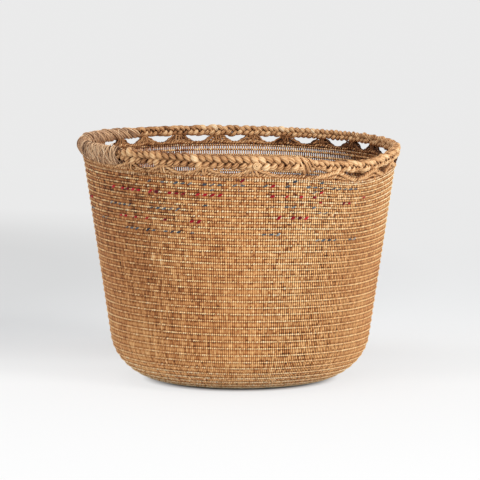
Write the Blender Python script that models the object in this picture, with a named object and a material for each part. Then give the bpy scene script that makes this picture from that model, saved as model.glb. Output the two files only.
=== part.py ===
"""Twined carrying basket with an open rim.

Split-root warps radiate from a small start disc, cross the flat bottom, turn up round a wide corner
and lean outwards to the lip. Pairs of weft strands twine round them in a rising spiral. A cord finishes
the lip, and ties stand on it and carry two plaited rim braids, lapped at their ends under bindings.
Carrying lines pass through the openings between the ties.

Lengths are in metres. +Z is up, the basket stands on Z = 0 and its front faces -Y.
Places on the wall are given by the way up it (the arc length from the edge of the flat bottom),
the azimuth round it (from +X towards +Y) and the distance out from the warps' outer face.
"""

import math

import bmesh
import bpy
import numpy as np
from mathutils import Vector

# Body of the basket, measured on the warps' outer face
BASE_RADIUS = 0.0780  # flat part of the bottom
CORNER_WIDTH = 0.06425  # rounded corner, across
CORNER_HEIGHT = 0.0545  # rounded corner, up
WALL_LEAN = math.radians(8.4)
WALL_HEIGHT = 0.2396  # mean height of the wall's top edge
WARP_THICKNESS = 0.0024
RIB_DEPTH = 0.0008  # between the ribs that the warps form on the wall
START_RADIUS = 0.022
START_THICKNESS = 0.0032

# The lip isn't level: it rises to the back, falls to the right and dips at the front right
LIP_BACK_RISE = 0.0060
LIP_RIGHT_DROP = 0.0028
LIP_DIP = 0.0080
LIP_DIP_AZIMUTH = math.radians(-40)
LIP_DIP_SPREAD = math.radians(22)
LIP_FADE_POWER = 3  # how fast the rows below the lip become level

# Weft strands on the wall
WEFT_LENGTHS = 10
TURNS_PER_LENGTH = 3.625
FIRST_ROW_WAY = 0.024  # way up the corner at which the spiral starts
TOP_ROW_MARGIN = 0.0026
TOP_ROW_PITCH = 0.0057
WEFT_HEIGHT = 0.0026
WEFT_PROUD = 0.0011

# Weft on the inside of the bottom
BASE_WEFT_PITCH = 0.0100
BASE_WEFT_MARGIN = 0.0040

# Wool yarn laid between two rows: name, rows below the top, first and last facet from +X
BETWEEN_ROWS = 0.5
YARN_HEIGHT = 0.0016
YARN_PROUD = 0.0009
BLUE_YARNS = (("blue_yarn_upper", 1, 15, 21), ("blue_yarn_middle", 5, 14, 20), ("blue_yarn_lower", 9, 13, 21))
RED_YARNS = (("red_yarn_upper", 3, 13, 21), ("red_yarn_lower", 7, 14, 20))

# Lip cord, ties and the openings between them
LIP_CORD_HEIGHT = 0.0036
LIP_CORD_DEPTH = 0.0046
OPENING_HEIGHT = 0.0062
TIE_FOOT_WIDTH = 0.0162
TIE_TOP_WIDTH = 0.0055
TIE_DEPTH = 0.0036
TIE_SHOULDER = 0.0012
TIE_AZIMUTHS_DEG = (
    -132, -118, -102.5, -85, -53.5, -34, -19, -4, 11, 27,
    40.5, 56, 71, 85, 98.5, 114, 128.5, 141.5, 156,
)  # fmt: skip

# Rim braids of three strands. Swing is how far a strand's middle moves from the braid's middle.
FRONT_BRAID = {
    "start": math.radians(-160), "end": math.radians(-66.5), "lobe_pitch": 0.0082,
    "swing": 0.0050, "swing_out": 0.0030, "half_width": 0.0026, "half_depth": 0.0018,
}  # fmt: skip
BACK_BRAID = {
    "start": math.radians(-64.5), "end": math.radians(198), "lobe_pitch": 0.0080,
    "swing": 0.0040, "swing_out": 0.0026, "half_width": 0.0018, "half_depth": 0.0016,
}  # fmt: skip
STRANDS = ("a", "b", "c")
SAMPLES_PER_CROSSING = 2

# Bindings over the laps of the two braids: name, start, end
BINDING_WALL = 0.0012
BINDINGS = (
    ("lap_binding_left", math.radians(172), math.radians(220)),
    ("lap_binding_right", math.radians(-70), math.radians(-61.5)),
)
BINDING_SEGMENT = math.radians(5)

# Finish of the mesh and the fibres
FIBRE_ROUGHNESS = 0.8
SHARP_ANGLE = math.radians(35)
CORNER_SAMPLES = 400
CLEARANCE = 0.0003  # between pieces that touch
WARP_GROUPS = 8
FACETS_PER_GROUP = 3
RIBS_PER_FACET = 5
CORNER_STEPS = 7
BASE_WEFT_STEPS = 24
FACETS = WARP_GROUPS * FACETS_PER_GROUP
FACET = math.tau / FACETS

COLOURS = {
    "warp": (0.42, 0.22, 0.09),
    "weft": (0.60, 0.38, 0.18),
    "cord": (0.50, 0.28, 0.12),
    "red_wool": (0.38, 0.02, 0.02),
    "blue_wool": (0.06, 0.12, 0.20),
}


# The profile of the warps' outer face, as arc length against the corner's angle


def corner_end_angle():
    """The angle on the corner at which its tangent leans as the wall does."""
    return math.atan(CORNER_WIDTH / CORNER_HEIGHT / math.tan(WALL_LEAN))


CORNER_ANGLES = np.linspace(0.0, corner_end_angle(), CORNER_SAMPLES)
CORNER_SPEED = np.hypot(CORNER_WIDTH * np.cos(CORNER_ANGLES), CORNER_HEIGHT * np.sin(CORNER_ANGLES))
CORNER_WAYS = np.concatenate(
    ([0.0], np.cumsum((CORNER_SPEED[1:] + CORNER_SPEED[:-1]) / 2 * np.diff(CORNER_ANGLES)))
)
CORNER_LENGTH = float(CORNER_WAYS[-1])
CORNER_TOP_RADIUS = BASE_RADIUS + CORNER_WIDTH * math.sin(corner_end_angle())
CORNER_TOP_HEIGHT = CORNER_HEIGHT * (1 - math.cos(corner_end_angle()))
LIP_WAY = CORNER_LENGTH + (WALL_HEIGHT - CORNER_TOP_HEIGHT) / math.cos(WALL_LEAN)


def profile(way, out=0.0):
    """Radius and height at this way up the profile, moved out along its normal."""
    if way <= 0.0:
        radius, height, normal = BASE_RADIUS + way, 0.0, (0.0, -1.0)
    elif way < CORNER_LENGTH:
        angle = float(np.interp(way, CORNER_WAYS, CORNER_ANGLES))
        radius = BASE_RADIUS + CORNER_WIDTH * math.sin(angle)
        height = CORNER_HEIGHT * (1 - math.cos(angle))
        across, down = CORNER_HEIGHT * math.sin(angle), CORNER_WIDTH * math.cos(angle)
        size = math.hypot(across, down)
        normal = (across / size, -down / size)
    else:
        rest = way - CORNER_LENGTH
        radius = CORNER_TOP_RADIUS + rest * math.sin(WALL_LEAN)
        height = CORNER_TOP_HEIGHT + rest * math.cos(WALL_LEAN)
        normal = (math.cos(WALL_LEAN), -math.sin(WALL_LEAN))
    return radius + out * normal[0], height + out * normal[1]


def place(way, azimuth, out=0.0):
    """A point on or off the wall."""
    radius, height = profile(way, out)
    return Vector((radius * math.cos(azimuth), radius * math.sin(azimuth), height))


def smooth_lift(azimuth):
    """How far the lip stands above its mean height."""
    from_dip = math.remainder(azimuth - LIP_DIP_AZIMUTH, math.tau) / LIP_DIP_SPREAD
    tilt = LIP_BACK_RISE * math.sin(azimuth) - LIP_RIGHT_DROP * math.cos(azimuth)
    return (tilt - LIP_DIP * math.exp(-(from_dip**2))) / math.cos(WALL_LEAN)


def lip_lift(azimuth):
    """The same, straight between the facets' edges, so that stacked pieces meet."""
    facet = azimuth / FACET
    low = math.floor(facet)
    share = facet - low
    return smooth_lift(low * FACET) * (1 - share) + smooth_lift((low + 1) * FACET) * share


def lifted(way, azimuth):
    """This way up the wall, moved as the uneven lip moves the rows below it."""
    return way + lip_lift(azimuth) * (max(way, 0.0) / LIP_WAY) ** LIP_FADE_POWER


def above_lip(rise, azimuth, out=0.0):
    """A point this far above the wall's top edge."""
    return place(LIP_WAY + lip_lift(azimuth) + rise, azimuth, out)


# Meshes


def finish(name, mesh_builder, material):
    """Makes the object of this name, with its faces turned out."""
    bmesh.ops.recalc_face_normals(mesh_builder, faces=mesh_builder.faces)
    mesh = bpy.data.meshes.new(name)
    mesh_builder.to_mesh(mesh)
    mesh_builder.free()
    mesh.materials.append(material)
    mesh.shade_smooth()
    mesh.set_sharp_from_angle(angle=SHARP_ANGLE)
    made = bpy.data.objects.new(name, mesh)
    bpy.context.scene.collection.objects.link(made)
    return made


def loft(name, sections, material, closed=False):
    """A solid through sections of equally many points, capped at its ends unless it is a closed ring."""
    builder = bmesh.new()
    rings = [[builder.verts.new(point) for point in section] for section in sections]
    pairs = list(zip(rings, rings[1:]))
    if closed:
        pairs.append((rings[-1], rings[0]))
    for first, second in pairs:
        for i in range(len(first)):
            j = (i + 1) % len(first)
            builder.faces.new((first[i], first[j], second[j], second[i]))
    if not closed:
        builder.faces.new(rings[0])
        builder.faces.new(rings[-1])
    return finish(name, builder, material)


def material_of(name):
    """A plain material in the colour of one fibre."""
    made = bpy.data.materials.new(name)
    made.use_nodes = True
    shader = made.node_tree.nodes["Principled BSDF"]
    shader.inputs["Base Color"].default_value = (*COLOURS[name], 1.0)
    shader.inputs["Roughness"].default_value = FIBRE_ROUGHNESS
    shader.inputs["Metallic"].default_value = 0.0
    return made


# Bottom and wall


def start_disc(material):
    """The knot of crossed warps in the middle of the bottom."""
    sections = []
    for radius, height in (
        (START_RADIUS, 0.0),
        (START_RADIUS, WARP_THICKNESS),
        (START_RADIUS - (START_THICKNESS - WARP_THICKNESS), START_THICKNESS),
    ):
        turns = [i * FACET for i in range(FACETS)]
        sections.append([(radius * math.cos(a), radius * math.sin(a), height) for a in turns])
    return loft("base_start", sections, material)


def wall_line(azimuth, slit, outer, inner):
    """A section of the wall, from the start disc to the lip, at one edge of a facet.

    Slit moves it sideways. Outer and inner are the distances out of the wall's two faces.
    """
    inner_end = START_RADIUS + CLEARANCE - BASE_RADIUS
    corner = [CORNER_LENGTH * (i + 1) / CORNER_STEPS for i in range(CORNER_STEPS)]
    faces = []
    for on_bottom, on_wall in ((0.0, outer), (-WARP_THICKNESS, inner)):
        points = []
        for way in [inner_end, 0.0] + corner + [LIP_WAY + lip_lift(azimuth)]:
            out = on_wall if way > 0.0 else on_bottom
            points.append(place(way, azimuth + slit / profile(way, out)[0], out))
        faces.append(points)
    return faces[0] + faces[1][::-1]


def warp_group(index, material):
    """One group of warps, from the start disc to the lip. On the wall they form upright ribs."""
    columns_per_facet = 2 * RIBS_PER_FACET
    columns = FACETS_PER_GROUP * columns_per_facet
    sections = []
    for column in range(columns + 1):
        facet = min(column // columns_per_facet, FACETS_PER_GROUP - 1)
        share = column / columns_per_facet - facet
        on_rib = column % 2 == 1
        outer = 0.0 if on_rib else -RIB_DEPTH
        inner = RIB_DEPTH - WARP_THICKNESS if on_rib else -WARP_THICKNESS
        slit = {0: 1, columns: -1}.get(column, 0) * CLEARANCE / 2
        edges = [(index * FACETS_PER_GROUP + facet + step) * FACET for step in (0, 1)]
        low, high = [wall_line(azimuth, slit, outer, inner) for azimuth in edges]
        sections.append([a.lerp(b, share) for a, b in zip(low, high)])
    return loft(f"warp_group_{index + 1:02d}", sections, material)


def base_weft(material):
    """The weft spiral that holds the warps across the bottom, seen from inside."""
    low = WARP_THICKNESS + CLEARANCE
    first = START_RADIUS + CLEARANCE + WEFT_HEIGHT
    last = BASE_RADIUS - BASE_WEFT_MARGIN
    steps = int((last - first) / BASE_WEFT_PITCH * BASE_WEFT_STEPS)
    sections = []
    for step in range(steps + 1):
        azimuth = step * math.tau / BASE_WEFT_STEPS
        radius = first + BASE_WEFT_PITCH * step / BASE_WEFT_STEPS
        corners = ((-WEFT_HEIGHT / 2, low), (0.0, low + WEFT_PROUD), (WEFT_HEIGHT / 2, low))
        sections.append(
            [((radius + a) * math.cos(azimuth), (radius + a) * math.sin(azimuth), z) for a, z in corners]
        )
    return loft("base_weft", sections, material)


def row_way(turn):
    """Way up the wall of the weft spiral after this many turns. The rows draw together upwards."""
    turns = WEFT_LENGTHS * TURNS_PER_LENGTH
    climb = LIP_WAY - TOP_ROW_MARGIN - FIRST_ROW_WAY
    first_pitch = 2 * climb / turns - TOP_ROW_PITCH
    return FIRST_ROW_WAY + first_pitch * turn + (TOP_ROW_PITCH - first_pitch) * turn**2 / (2 * turns)


def row_section(turn, corners, rows_above=0.0):
    """A section of a strand on the spiral, or above it. Corners are (way up, out), from its middle."""
    azimuth = -turn * math.tau
    way = lifted(row_way(turn + rows_above), azimuth)
    return [place(way + up, azimuth, CLEARANCE + out) for up, out in corners]


def weft_length(index, material):
    """One pair of weft strands, twined round the wall for a few turns."""
    corners = ((-WEFT_HEIGHT / 2, 0.0), (0.0, WEFT_PROUD), (WEFT_HEIGHT / 2, 0.0))
    steps = round(TURNS_PER_LENGTH * FACETS)
    trim = CLEARANCE / BASE_RADIUS / math.tau
    turns = [(index * steps + step) / FACETS for step in range(steps + 1)]
    turns[0] += trim
    turns[-1] -= trim
    sections = [row_section(turn, corners) for turn in turns]
    return loft(f"weft_length_{index + 1:02d}", sections, material)


def yarn(name, rows_below_top, first_facet, last_facet, material):
    """Coloured wool, laid between two rows of weft."""
    half = YARN_HEIGHT / 2
    corners = ((-half, 0.0), (-half, YARN_PROUD), (half, YARN_PROUD), (half, 0.0))
    row = math.floor(WEFT_LENGTHS * TURNS_PER_LENGTH) - rows_below_top
    turns = [row - facet / FACETS for facet in range(first_facet, last_facet + 1)]
    return loft(name, [row_section(turn, corners, BETWEEN_ROWS) for turn in turns], material)


# Lip and rim


def lip_cord(material):
    """The cord that closes the wall's top edge."""
    middle, across = -WARP_THICKNESS / 2, LIP_CORD_DEPTH / 2
    outline = (
        (0.0, -across / 2), (0.0, across / 2), (LIP_CORD_HEIGHT / 2, across),
        (LIP_CORD_HEIGHT, across / 2), (LIP_CORD_HEIGHT, -across / 2), (LIP_CORD_HEIGHT / 2, -across),
    )  # fmt: skip
    sections = [
        [above_lip(CLEARANCE + up, step * FACET, middle + out) for up, out in outline]
        for step in range(FACETS)
    ]
    return loft("lip_cord", sections, material, closed=True)


LIP_CORD_TOP = CLEARANCE + LIP_CORD_HEIGHT
BRAID_FOOT = LIP_CORD_TOP + OPENING_HEIGHT


def braid_middle(braid):
    """Rise of a braid's middle above the wall's top edge."""
    return BRAID_FOOT + braid["half_width"] + braid["swing"]


def braid_periods(braid):
    """How many times each strand swings there and back along the braid."""
    radius = profile(LIP_WAY + braid_middle(braid), -WARP_THICKNESS / 2)[0]
    length = (braid["end"] - braid["start"]) * radius
    return round(length / (len(STRANDS) * braid["lobe_pitch"]))


def braid_samples(braid):
    """Azimuths of a strand's sections, with the phase of its swing there."""
    steps = braid_periods(braid) * len(STRANDS) * SAMPLES_PER_CROSSING
    for step in range(steps + 1):
        azimuth = braid["start"] + (braid["end"] - braid["start"]) * step / steps
        yield azimuth, -math.pi / 2 + step * math.tau / (len(STRANDS) * SAMPLES_PER_CROSSING)


def braid_strand(prefix, braid, index, material):
    """One strand, swinging up and down and out and in past the other two."""
    middle_out = -WARP_THICKNESS / 2
    turn = index * math.tau / len(STRANDS)
    path, outward = [], []
    for azimuth, phase in braid_samples(braid):
        rise = braid_middle(braid) + braid["swing"] * math.sin(phase + turn)
        out = middle_out - braid["swing_out"] * math.sin(2 * (phase + turn))
        path.append(above_lip(rise, azimuth, out))
        outward.append(above_lip(rise, azimuth, out + 1.0) - path[-1])
    sections = []
    for i, (point, out) in enumerate(zip(path, outward)):
        along = (path[min(i + 1, len(path) - 1)] - path[max(i - 1, 0)]).normalized()
        across = along.cross(out).normalized()
        depth = across.cross(along).normalized()
        half_width, half_depth = braid["half_width"], braid["half_depth"]
        sections.append(
            [point + depth * half_depth, point + across * half_width]
            + [point - depth * half_depth, point - across * half_width]
        )
    return loft(f"{prefix}_{STRANDS[index]}", sections, material)


def nearest_lobe(azimuth):
    """The azimuth of the braid's low lobe that is nearest to this one."""
    lobes = []
    for braid in (FRONT_BRAID, BACK_BRAID):
        samples = [a for a, _ in braid_samples(braid)]
        lobes += samples[SAMPLES_PER_CROSSING:-SAMPLES_PER_CROSSING:SAMPLES_PER_CROSSING]
    return min(lobes, key=lambda lobe: abs(math.remainder(lobe - azimuth, math.tau)))


def rim_tie(index, material):
    """A gathered tie, wide on the lip cord and narrow where it holds the braid."""
    azimuth = nearest_lobe(math.radians(TIE_AZIMUTHS_DEG[index]))
    radius = profile(LIP_WAY)[0]
    foot, top = LIP_CORD_TOP + CLEARANCE, BRAID_FOOT - CLEARANCE
    middle, half_depth = -WARP_THICKNESS / 2, TIE_DEPTH / 2
    sections = []
    for across, height in (
        (-TIE_FOOT_WIDTH / 2, foot + TIE_SHOULDER),
        (-TIE_TOP_WIDTH / 2, top),
        (TIE_TOP_WIDTH / 2, top),
        (TIE_FOOT_WIDTH / 2, foot + TIE_SHOULDER),
    ):
        corners = ((foot, -half_depth), (foot, half_depth), (height, half_depth), (height, -half_depth))
        sections.append([above_lip(up, azimuth + across / radius, middle + out) for up, out in corners])
    return loft(f"rim_tie_{index + 1:02d}", sections, material)


def binding_outline(grow):
    """Egg-shaped section of a binding, round both braids and down to the lip cord."""
    tallest = 2 * max(b["swing"] + b["half_width"] for b in (FRONT_BRAID, BACK_BRAID))
    deepest = max(b["swing_out"] + b["half_depth"] for b in (FRONT_BRAID, BACK_BRAID))
    top = BRAID_FOOT + tallest + 2 * CLEARANCE + grow
    foot = LIP_CORD_TOP + CLEARANCE + BINDING_WALL - grow
    wide = deepest + 2 * CLEARANCE + grow
    narrow = TIE_DEPTH / 2 + grow
    waist = BRAID_FOOT - CLEARANCE - grow
    return (
        (foot, -narrow), (foot, narrow), (waist, wide), (top - wide / 2, wide),
        (top, wide / 2), (top, -wide / 2), (top - wide / 2, -wide), (waist, -wide),
    )  # fmt: skip


def binding(name, start, end, material):
    """A tube wound over the place where the two braids lap."""
    steps = max(1, math.ceil((end - start) / BINDING_SEGMENT))
    middle = -WARP_THICKNESS / 2
    builder = bmesh.new()
    tubes = []
    for grow in (BINDING_WALL, 0.0):
        tube = []
        for step in range(steps + 1):
            azimuth = start + (end - start) * step / steps
            points = [above_lip(up, azimuth, middle + out) for up, out in binding_outline(grow)]
            tube.append([builder.verts.new(point) for point in points])
        tubes.append(tube)
    sides = len(tubes[0][0])
    for tube in tubes:
        for first, second in zip(tube, tube[1:]):
            for i in range(sides):
                j = (i + 1) % sides
                builder.faces.new((first[i], first[j], second[j], second[i]))
    for end_ring in (0, -1):
        outer, inner = tubes[0][end_ring], tubes[1][end_ring]
        for i in range(sides):
            j = (i + 1) % sides
            builder.faces.new((outer[i], outer[j], inner[j], inner[i]))
    return finish(name, builder, material)


def clear_scene():
    """Removes what the startup file holds."""
    for old in list(bpy.data.objects):
        bpy.data.objects.remove(old)


def main():
    clear_scene()
    warp, weft, cord = material_of("warp"), material_of("weft"), material_of("cord")
    red, blue = material_of("red_wool"), material_of("blue_wool")
    start_disc(warp)
    for index in range(WARP_GROUPS):
        warp_group(index, warp)
    base_weft(weft)
    for index in range(WEFT_LENGTHS):
        weft_length(index, weft)
    for arguments in RED_YARNS:
        yarn(*arguments, red)
    for arguments in BLUE_YARNS:
        yarn(*arguments, blue)
    lip_cord(cord)
    for index in range(len(TIE_AZIMUTHS_DEG)):
        rim_tie(index, cord)
    for index in range(len(STRANDS)):
        braid_strand("front_braid_strand", FRONT_BRAID, index, cord)
        braid_strand("back_braid_strand", BACK_BRAID, index, cord)
    for name, start, end in BINDINGS:
        binding(name, start, end, cord)


main()
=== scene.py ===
from math import acos, atan, ceil, cos, floor, pi, radians, remainder, sin, sqrt, tan, tau as TAU

import bpy
import numpy as np
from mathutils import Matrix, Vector


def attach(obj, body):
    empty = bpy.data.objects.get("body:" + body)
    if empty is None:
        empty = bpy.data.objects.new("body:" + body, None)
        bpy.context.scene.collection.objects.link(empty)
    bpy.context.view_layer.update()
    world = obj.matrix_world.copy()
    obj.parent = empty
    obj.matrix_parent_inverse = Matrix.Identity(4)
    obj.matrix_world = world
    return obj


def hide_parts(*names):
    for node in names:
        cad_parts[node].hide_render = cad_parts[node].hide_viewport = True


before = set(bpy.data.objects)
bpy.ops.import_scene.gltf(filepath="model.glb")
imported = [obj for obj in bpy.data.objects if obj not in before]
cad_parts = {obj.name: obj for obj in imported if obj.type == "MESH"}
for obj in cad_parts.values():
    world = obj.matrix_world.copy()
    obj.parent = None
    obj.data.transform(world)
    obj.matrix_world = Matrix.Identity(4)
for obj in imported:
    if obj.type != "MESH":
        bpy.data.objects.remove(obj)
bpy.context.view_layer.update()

# Dressed scene of a twined carrying basket with an open rim. Lengths are in metres, +Z is up and the
# basket's front faces -Y. Places on the wall are given, as in the part, by the way up it (arc length
# from the edge of the flat bottom), the azimuth round it from +X and the distance out from its face.

# The part's own sizes
BASE_RADIUS = 0.0780
CORNER_WIDTH = 0.06425
CORNER_HEIGHT = 0.0545
WALL_LEAN = radians(8.4)
WALL_HEIGHT = 0.2396
WARP_THICKNESS = 0.0024
START_RADIUS = 0.022
LIP_BACK_RISE = 0.0060
LIP_RIGHT_DROP = 0.0028
LIP_DIP = 0.0080
LIP_DIP_AZIMUTH = radians(-40)
LIP_DIP_SPREAD = radians(22)
LIP_FADE_POWER = 3
WEFT_LENGTHS = 10
TURNS_PER_LENGTH = 3.625
FIRST_ROW_WAY = 0.024
TOP_ROW_MARGIN = 0.0026
TOP_ROW_PITCH = 0.0057
CLEARANCE = 0.0003
LIP_CORD_HEIGHT = 0.0036
OPENING_HEIGHT = 0.0062
TIE_AZIMUTHS_DEG = (
    -132, -118, -102.5, -85, -53.5, -34, -19, -4, 11, 27,
    40.5, 56, 71, 85, 98.5, 114, 128.5, 141.5, 156,
)
LIP_TOP = CLEARANCE + LIP_CORD_HEIGHT
BRAID_FOOT = LIP_TOP + OPENING_HEIGHT
WALL_MIDDLE = -WARP_THICKNESS / 2

# The dressing's own sizes
WARPS = 400
WARP_GROUPS = 8
WARP_SAMPLES = 4  # for each row that a warp passes
WARP_SIDES = 8
WARP_FILL = 0.575  # half-width of a warp as a share of the warps' pitch
WARP_WIDEST = 0.00172  # half-width
WARP_HALF_DEPTH = 0.00112
BOTTOM_SAMPLES = 15  # of a warp, from where it begins to its first row
FOURTH_WAY = -0.032  # where every fourth warp begins, on the bottom
SECOND_WAY = 0.006  # where every second warp begins, round the bottom's edge
FLAT_REACH = 0.030  # way over which the bottom's flatter weave gives way to the wall's
SPOKES = 48  # warps in the start
WEFT_SAMPLES = 4  # for each warp that a strand passes
WEFT_SIDES = 5
WEFT_HALF_WIDTH = 0.00086
WEFT_HALF_DEPTH = 0.00052
WEFT_SWING = 0.00042
WEFT_REACH = 0.00158
WINDING_SAMPLES = 26  # for each turn
PLAIT_STEPS = 28  # samples for each period of a strand
PLAIT_SIDES = 26
FURROWS = 7  # round a plait's strand
FURROW_DEPTH = 0.15  # as a share of the strand's radius
TIE_CROWN = 0.0056  # half of the width over which a tie's hill meets the plait
KNOT_TIE = 3  # the tie whose cord ends in a round knot on the front plait
GROOVE_SHADE = 2.0  # tone lost for each share of the radius that a furrow takes

# How far the warps' tone varies: between warps, along a warp, between crossings and within one
OWN_TONE = 0.019
DRIFT_TONE = 0.026
CELL_TONE = 0.060
GRAIN_TONE = 0.066

CAMERA_ELEVATION = radians(6.25)
CAMERA_DISTANCE = 3.08
PIXELS = 480
PIXEL_REACH = 2800  # camera distance in image pixels
AIM_HEIGHT = 0.129
AIM_BELOW_CENTRE = 20.7  # pixels

FLOOR_HALF = 40.0
FLOOR_DROP = 0.0002  # below the basket's underside
FLOOR_ALBEDO = 0.88
FLOOR_GLOW = 0.80  # share of the floor's look that doesn't depend on the lamps
HORIZON = 0.826  # the far floor's and the sky's look to the camera
# The floor's painted shadow: its centre, and how far it darkens the floor
PAINTED_SHADOW_CENTRE = (-0.85, 1.00)  # a soft shade over the floor behind the basket, to its left
PAINTED_SHADOW_DEPTH = 0.17
COOL = 1.004  # blue over red in the floor and the sky

chance = np.random.default_rng(11)


def clamp(value):
    """The value, held between 0 and 1."""
    return np.clip(value, 0.0, 1.0)


def angle_from(azimuth, other):
    """The turn from the other azimuth to this one, at most half a turn either way."""
    return np.remainder(azimuth - other + pi, TAU) - pi


# The wall's surface

_end = atan(CORNER_WIDTH / CORNER_HEIGHT / tan(WALL_LEAN))
CORNER_ANGLES = np.linspace(0.0, _end, 400)
_speed = np.hypot(CORNER_WIDTH * np.cos(CORNER_ANGLES), CORNER_HEIGHT * np.sin(CORNER_ANGLES))
CORNER_WAYS = np.concatenate(([0.0], np.cumsum((_speed[1:] + _speed[:-1]) / 2 * np.diff(CORNER_ANGLES))))
CORNER_LENGTH = float(CORNER_WAYS[-1])
CORNER_TOP_HEIGHT = CORNER_HEIGHT * (1 - cos(_end))
LIP_WAY = CORNER_LENGTH + (WALL_HEIGHT - CORNER_TOP_HEIGHT) / cos(WALL_LEAN)
TURNS = WEFT_LENGTHS * TURNS_PER_LENGTH


def profile(way, out=0.0):
    """Radius and height at this way up the profile, and the outward normal there."""
    way = np.asarray(way, dtype=float)
    angle = np.interp(way, CORNER_WAYS, CORNER_ANGLES)
    rest = np.maximum(way - CORNER_LENGTH, 0.0)
    radius = BASE_RADIUS + np.minimum(way, 0.0) + CORNER_WIDTH * np.sin(angle) + rest * sin(WALL_LEAN)
    height = CORNER_HEIGHT * (1 - np.cos(angle)) + rest * cos(WALL_LEAN)
    across, down = CORNER_HEIGHT * np.sin(angle), CORNER_WIDTH * np.cos(angle)
    size = np.hypot(across, down)
    return radius + out * across / size, height - out * down / size, across / size, -down / size


def place(way, azimuth, out=0.0):
    """Points on or off the wall."""
    radius, height, _, _ = profile(way, out)
    return np.stack(np.broadcast_arrays(radius * np.cos(azimuth), radius * np.sin(azimuth), height), -1)


def facing(way, azimuth):
    """The wall's outward directions."""
    _, _, across, up = profile(way)
    return np.stack(np.broadcast_arrays(across * np.cos(azimuth), across * np.sin(azimuth), up), -1)


def lip_lift(azimuth):
    """How far the lip stands above its mean height."""
    from_dip = angle_from(azimuth, LIP_DIP_AZIMUTH)
    tilt = LIP_BACK_RISE * np.sin(azimuth) - LIP_RIGHT_DROP * np.cos(azimuth)
    return (tilt - LIP_DIP * np.exp(-((from_dip / LIP_DIP_SPREAD) ** 2))) / cos(WALL_LEAN)


def lifted(way, azimuth):
    """This way up the wall, moved as the uneven lip moves the rows below it."""
    return way + lip_lift(azimuth) * (np.maximum(way, 0.0) / LIP_WAY) ** LIP_FADE_POWER


def row_way(turn):
    """Way up the wall of the weft spiral after this many turns."""
    first_pitch = 2 * (LIP_WAY - TOP_ROW_MARGIN - FIRST_ROW_WAY) / TURNS - TOP_ROW_PITCH
    return FIRST_ROW_WAY + first_pitch * turn + (TOP_ROW_PITCH - first_pitch) * turn**2 / (2 * TURNS)


LIP_RADIUS = float(profile(LIP_WAY)[0])


def rim_place(rise, azimuth, out):
    """Points this far above the wall's top edge, out from the middle of the wall."""
    return place(LIP_WAY + lip_lift(azimuth) + rise, azimuth, WALL_MIDDLE + out)


def wander(count, step, size=1.0):
    """A smooth random walk about zero, with a knot at every few samples."""
    knots = chance.normal(0.0, size, count // step + 3)
    return np.interp(np.arange(count) / step, np.arange(len(knots)), knots)


def wander_each(shape, step):
    """The same for several lines at once."""
    lines, samples = shape
    knots = chance.normal(0.0, 1.0, (lines, samples // step + 3))
    at = np.arange(samples) / step
    low = at.astype(int)
    return knots[:, low] * (1 - at + low) + knots[:, low + 1] * (at - low)


# Meshes of tubes


def angles_round(sides):
    """Where a tube's corners lie round it: 0 is across the line and a quarter turn is outwards."""
    return np.arange(sides) * TAU / sides + pi / sides


def tube(
    centre, normal, half_width, half_depth, sides, tone,
    identity=0.0, seam_shade=0.0, edge=2, grooves=0.0, inner_shade=0.0,
):
    """Tubes along many lines at once: centre and normal have the shape (lines, samples, 3).

    The tone falls towards a tube's two sides by seam, a painted shade where tubes meet, and a high edge
    keeps that to their rims. On the side away from the normal it falls by inner, a painted shade. Grooves
    are the depth of the furrows round a tube, as a share of its radius; their painted shade lowers the tone.
    The identity moves the grain, so that no two are alike.
    A single line may leave out the first dimension.
    """
    centre, normal = (line.reshape(-1, *line.shape[-2:]) for line in (centre, normal))
    along = np.gradient(centre, axis=1)
    along /= np.linalg.norm(along, axis=-1, keepdims=True) + 1e-12
    side = np.cross(normal, along)
    side /= np.linalg.norm(side, axis=-1, keepdims=True) + 1e-12
    out = np.cross(along, side)
    lines, samples = centre.shape[:2]
    turn = angles_round(sides)
    shape = (lines, samples, sides)
    swell = 1 - np.broadcast_to(grooves, shape)
    half_width, half_depth, tone, inner_shade = (
        np.broadcast_to(value, (lines, samples))[..., None] for value in (half_width, half_depth, tone, inner_shade)
    )
    wide = half_width * np.cos(turn) * swell
    deep = half_depth * np.sin(turn) * swell
    points = centre[:, :, None] + side[:, :, None] * wide[..., None] + out[:, :, None] * deep[..., None]
    travelled = np.linalg.norm(np.diff(centre, axis=1), axis=-1)
    travelled = np.concatenate((np.zeros((lines, 1)), np.cumsum(travelled, axis=1)), axis=1)
    number = np.broadcast_to(np.asarray(identity, dtype=float).reshape(-1, 1, 1), shape)
    grain = np.stack((np.broadcast_to(travelled[..., None], shape) + number, wide, deep + number * 0.37), -1)
    # Painted shade: darker towards the sides, where tubes meet their neighbours, and in the furrows
    shaded = tone - seam_shade * np.abs(np.cos(turn)) ** edge - GROOVE_SHADE * grooves
    # Painted shade on the side away from the normal
    shaded = shaded - inner_shade * clamp(-np.sin(turn))
    return {"points": points, "grain": grain, "tone": np.broadcast_to(shaded, shape)}


def add_object(name, data):
    """A new object in the scene."""
    made = bpy.data.objects.new(name, data)
    bpy.context.scene.collection.objects.link(made)
    return made


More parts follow.
